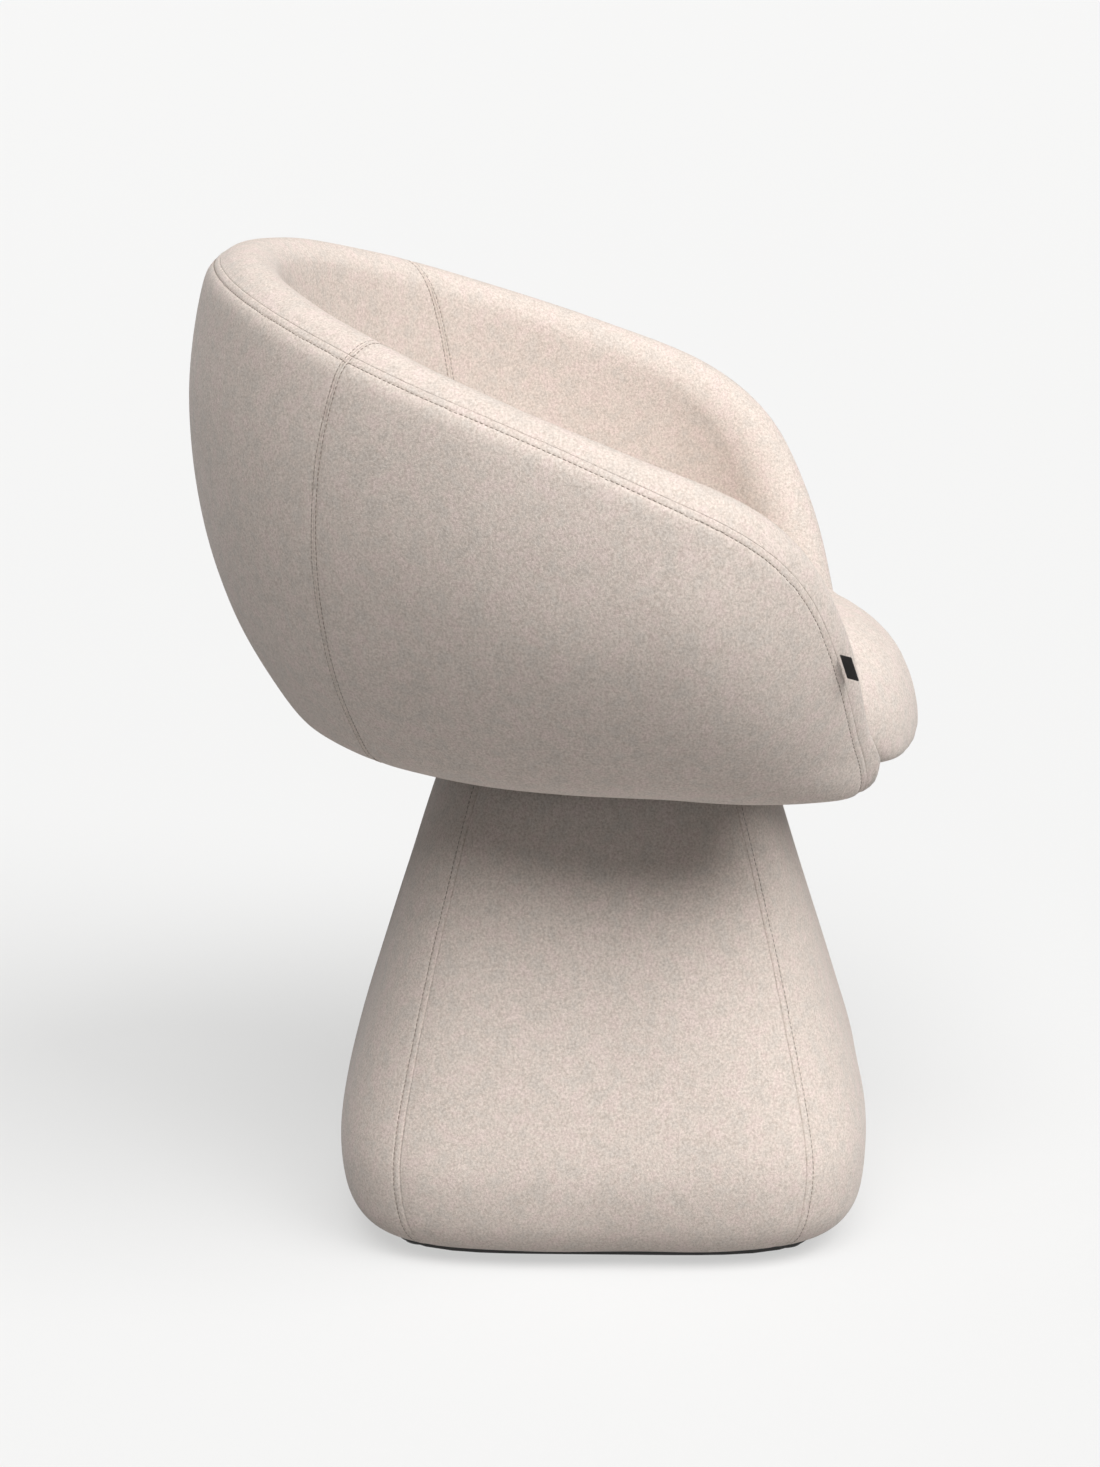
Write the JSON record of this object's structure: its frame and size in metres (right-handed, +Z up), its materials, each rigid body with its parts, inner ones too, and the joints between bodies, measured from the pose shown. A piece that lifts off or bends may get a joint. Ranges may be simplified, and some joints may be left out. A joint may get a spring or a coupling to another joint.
{
  "type": "swivel tub chair",
  "caption": "Upholstered tub chair with a rounded seat cushion, turning on a padded pedestal that flares to a rounded square foot.",
  "frame": {"origin": "on the floor, under the swivel axis", "axes": "+Z up along the swivel axis, -Y the way the sitter faces, +X the sitter's left"},
  "size_m": [0.6498, 0.5939, 0.785],
  "materials": {
    "wool": "felted melange wool, matte",
    "foam": "soft polyurethane foam, matte",
    "plywood": "raw birch plywood",
    "black_board": "black stained board, satin",
    "black_plastic": "black moulded plastic, satin",
    "moulding": "dark grey moulded shell",
    "nylon": "natural nylon",
    "steel": "machined steel",
    "zinc": "zinc plated steel",
    "black_steel": "phosphated spring steel",
    "black_cloth": "black woven cloth"
  },
  "bodies": {
    "base": {"bottom_board": "black_board", "ballast_plate": "steel", "ballast_screws": "zinc", "rib_front_back": "plywood", "rib_left_right": "plywood", "top_board": "plywood", "base_core": "moulding", "base_front_panel": "wool", "base_back_panel": "wool", "base_left_panel": "wool", "base_right_panel": "wool", "glides": "black_plastic", "glide_screws": "zinc", "swivel_hub": "steel", "upper_bush": "nylon", "lower_bush": "nylon", "thrust_washer": "nylon", "hub_bolts": "zinc", "hub_nuts": "zinc"},
    "seat": {"seat_spindle": "steel", "retaining_washer": "steel", "circlip": "black_steel", "seat_bolts": "zinc", "tee_nuts": "zinc", "seat_board": "plywood", "tub_shell": "moulding", "shell_screws": "zinc", "back_foam": "foam", "left_foam": "foam", "right_foam": "foam", "seat_foam": "foam", "outer_back_cover": "wool", "outer_left_cover": "wool", "outer_right_cover": "wool", "inner_back_cover": "wool", "inner_left_cover": "wool", "inner_right_cover": "wool", "seat_cover": "wool", "underside_cover": "black_cloth", "label_tab": "black_cloth"}
  },
  "joints": [
    {"name": "seat_swivel", "type": "hinge", "parent": "base", "child": "seat", "pos_m": [0, 0, 0.373], "axis": [0, 0, 1], "continuous": true}
  ]
}
